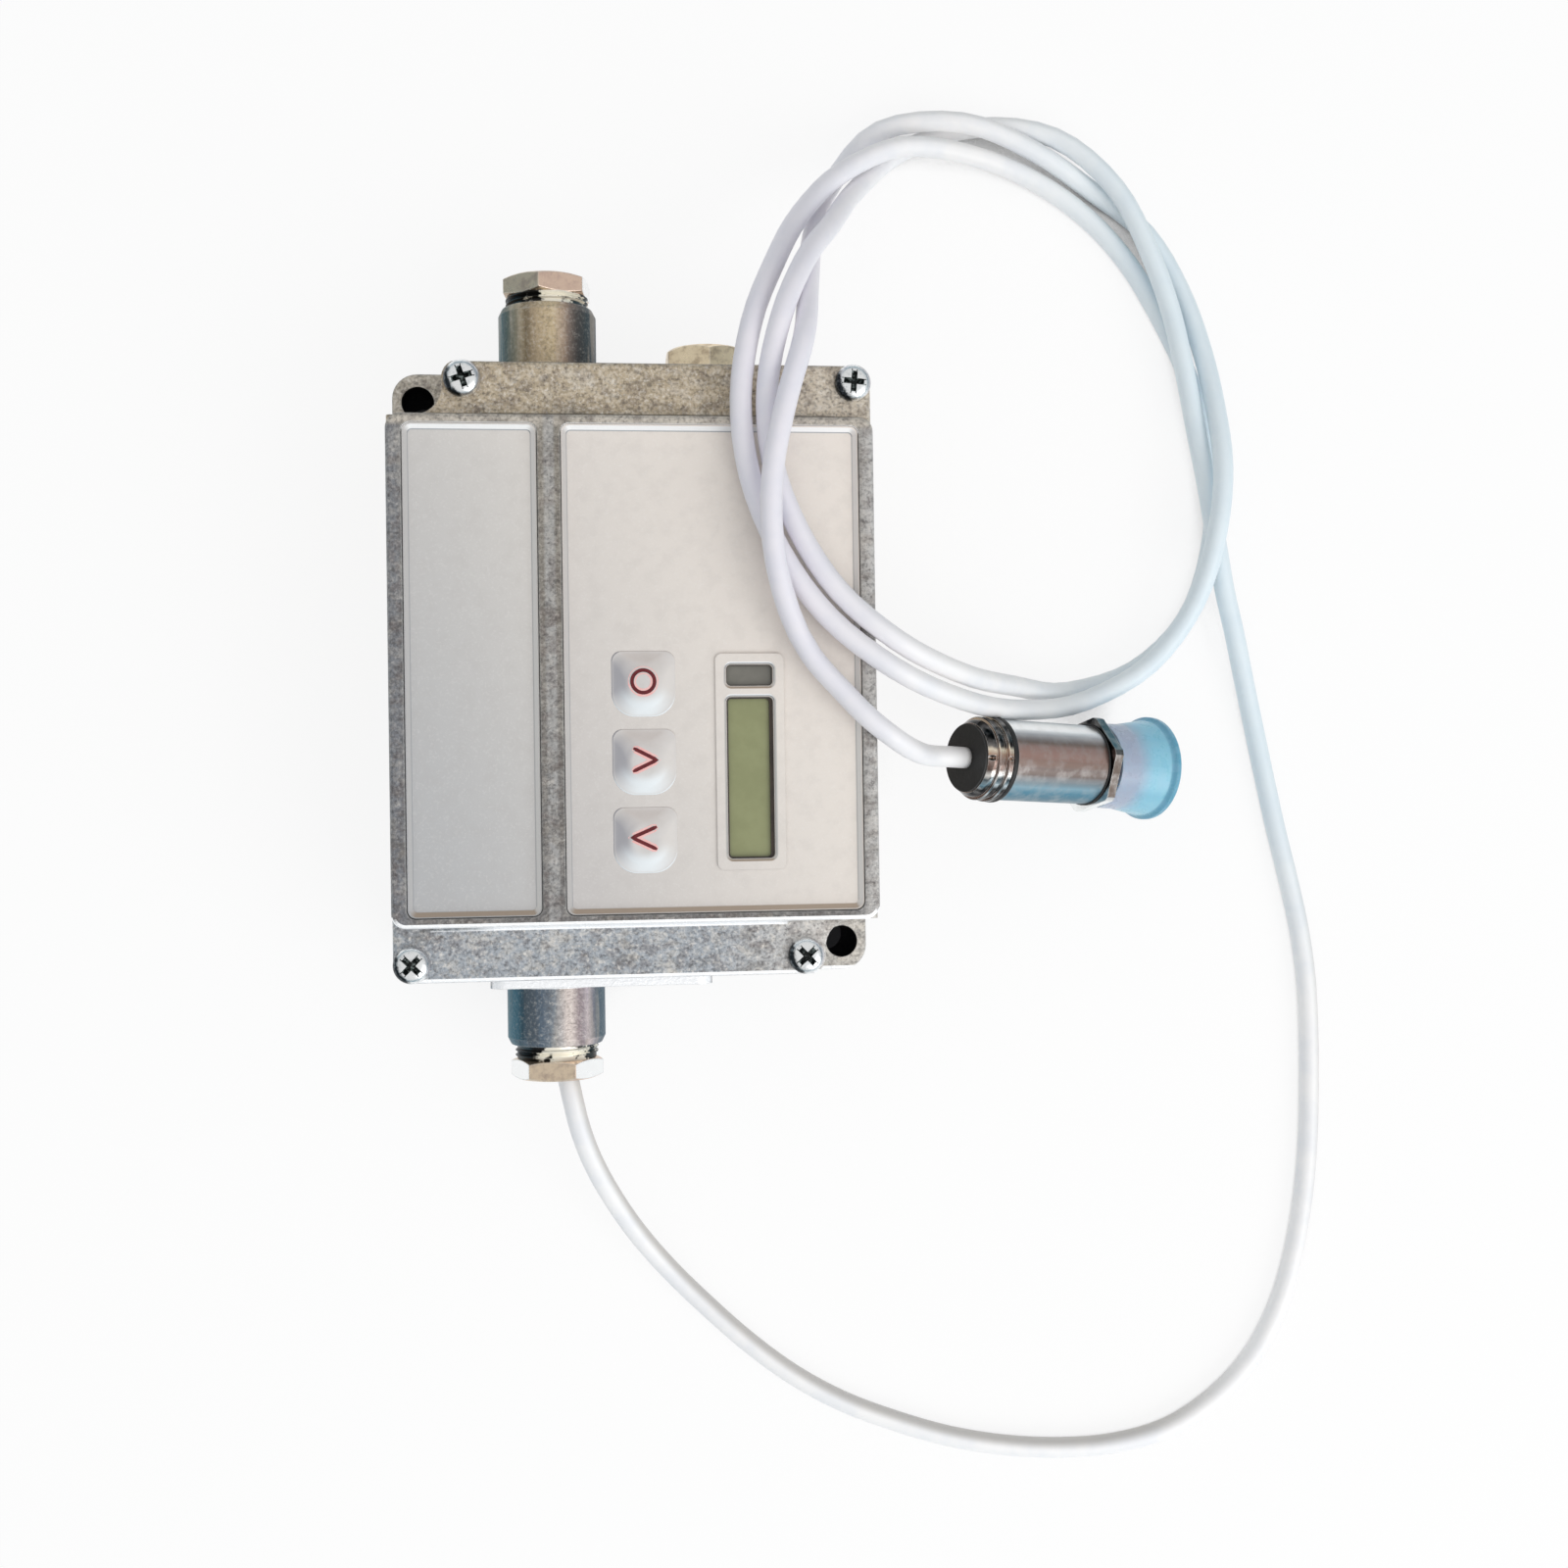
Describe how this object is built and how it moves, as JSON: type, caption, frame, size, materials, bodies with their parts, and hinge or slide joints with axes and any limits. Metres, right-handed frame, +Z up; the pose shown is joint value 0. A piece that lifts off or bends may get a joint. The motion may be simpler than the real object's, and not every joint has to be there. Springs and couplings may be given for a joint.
{
  "type": "infrared temperature sensor",
  "caption": "Cast sensor box with display, keys and two cable glands, and a capped cylindrical infrared sensing head on a long thin coiled cord.",
  "frame": {"origin": "centre of the box's footprint and of its two wall holes, on the plane that the box stands on", "axes": "+Z up out of the cover's face, +Y along the box towards the supply gland, +X across the box towards the sensing head"},
  "size_m": [0.1479, 0.2176, 0.0375],
  "materials": {
    "cast_zinc": "rough cast grey",
    "screw_zinc": "zinc plated",
    "plate_grey": "matt pale grey",
    "plate_white": "matt off-white",
    "key_white": "satin white",
    "window_olive": "clear with an olive tint",
    "window_grey": "smoked",
    "lcd_olive": "olive",
    "led_white": "milky",
    "black_plastic": "black",
    "board_green": "green lacquer",
    "terminal_green": "green",
    "bright_metal": "bright",
    "wire_red": "coloured sleeves",
    "cord_grey": "smooth pale grey sleeve",
    "nickel_brass": "nickel plated, worn warm",
    "plug_brass": "plain",
    "black_rubber": "black",
    "head_steel": "turned stainless steel",
    "nut_steel": "turned stainless steel",
    "germanium": "dark polished",
    "cap_blue": "light blue, slightly see-through"
  },
  "bodies": {
    "box": {"base_housing": "cast_zinc", "cover": "cast_zinc", "cover_gasket": "black_rubber", "cover_screws": "screw_zinc", "label_plate": "plate_grey", "control_panel": "plate_white", "display_bezel": "plate_white", "display_window": "window_olive", "indicator_window": "window_grey", "display_lcd": "lcd_olive", "display_holder": "led_white", "indicator_led": "led_white", "key_switches": "black_plastic", "upper_board": "board_green", "upper_spacers": "bright_metal", "upper_screws": "screw_zinc", "main_board": "board_green", "main_screws": "screw_zinc", "main_parts": "black_plastic", "board_header": "black_plastic", "terminal_blocks": "terminal_green", "terminal_screws": "screw_zinc", "cord_clamp": "bright_metal", "inner_wires": "wire_red", "cord_end": "cord_grey", "supply_grommet": "black_rubber", "cord_grommet": "black_rubber", "gland_washers": "screw_zinc", "plug_seal": "black_rubber", "head_barrel": "head_steel", "head_collar": "head_steel", "head_back_plug": "black_plastic", "head_o_ring": "black_rubber", "head_lock_ring": "black_rubber", "head_lens": "germanium", "head_lens_ring": "black_rubber", "head_detector": "bright_metal", "head_board": "board_green", "cord_lead": "cord_grey", "cord_coil": "cord_grey", "cord_tail": "cord_grey"},
    "key_ring": {"key_ring": "key_white"},
    "key_down": {"key_down": "key_white"},
    "key_up": {"key_up": "key_white"},
    "supply_nut": {"supply_nut": "nickel_brass"},
    "cord_nut": {"cord_nut": "nickel_brass"},
    "blanking_plug": {"blanking_plug": "plug_brass"},
    "head_nut": {"head_nut": "nut_steel"},
    "head_cap": {"head_cap": "cap_blue"}
  },
  "joints": [
    {"name": "key_ring_press", "type": "slide", "parent": "box", "child": "key_ring", "axis": [0, 0, 1], "range_m": [-0.0004, 0], "stiffness_N_per_m": 400, "springref_m": 0.001},
    {"name": "key_down_press", "type": "slide", "parent": "box", "child": "key_down", "axis": [0, 0, 1], "range_m": [-0.0004, 0], "stiffness_N_per_m": 400, "springref_m": 0.001},
    {"name": "key_up_press", "type": "slide", "parent": "box", "child": "key_up", "axis": [0, 0, 1], "range_m": [-0.0004, 0], "stiffness_N_per_m": 400, "springref_m": 0.001},
    {"name": "supply_nut_turn", "type": "hinge", "parent": "box", "child": "supply_nut", "pos_m": [-0.012, 0.0587, 0.0145], "axis": [0, 1, 0], "continuous": true},
    {"name": "cord_nut_turn", "type": "hinge", "parent": "box", "child": "cord_nut", "pos_m": [-0.012, -0.0587, 0.0145], "axis": [0, -1, 0], "continuous": true},
    {"name": "blanking_plug_turn", "type": "hinge", "parent": "box", "child": "blanking_plug", "pos_m": [0.012, 0.047, 0.0145], "axis": [0, 1, 0], "continuous": true},
    {"name": "head_nut_turn", "type": "hinge", "parent": "box", "child": "head_nut", "pos_m": [0.07166, -0.01433, 0.01221], "axis": [0.9178, -0.0497, -0.3939], "continuous": true},
    {"name": "head_cap_slide", "type": "slide", "parent": "box", "child": "head_cap", "axis": [0.9178, -0.0497, -0.3939], "range_m": [0, 0.012]}
  ]
}
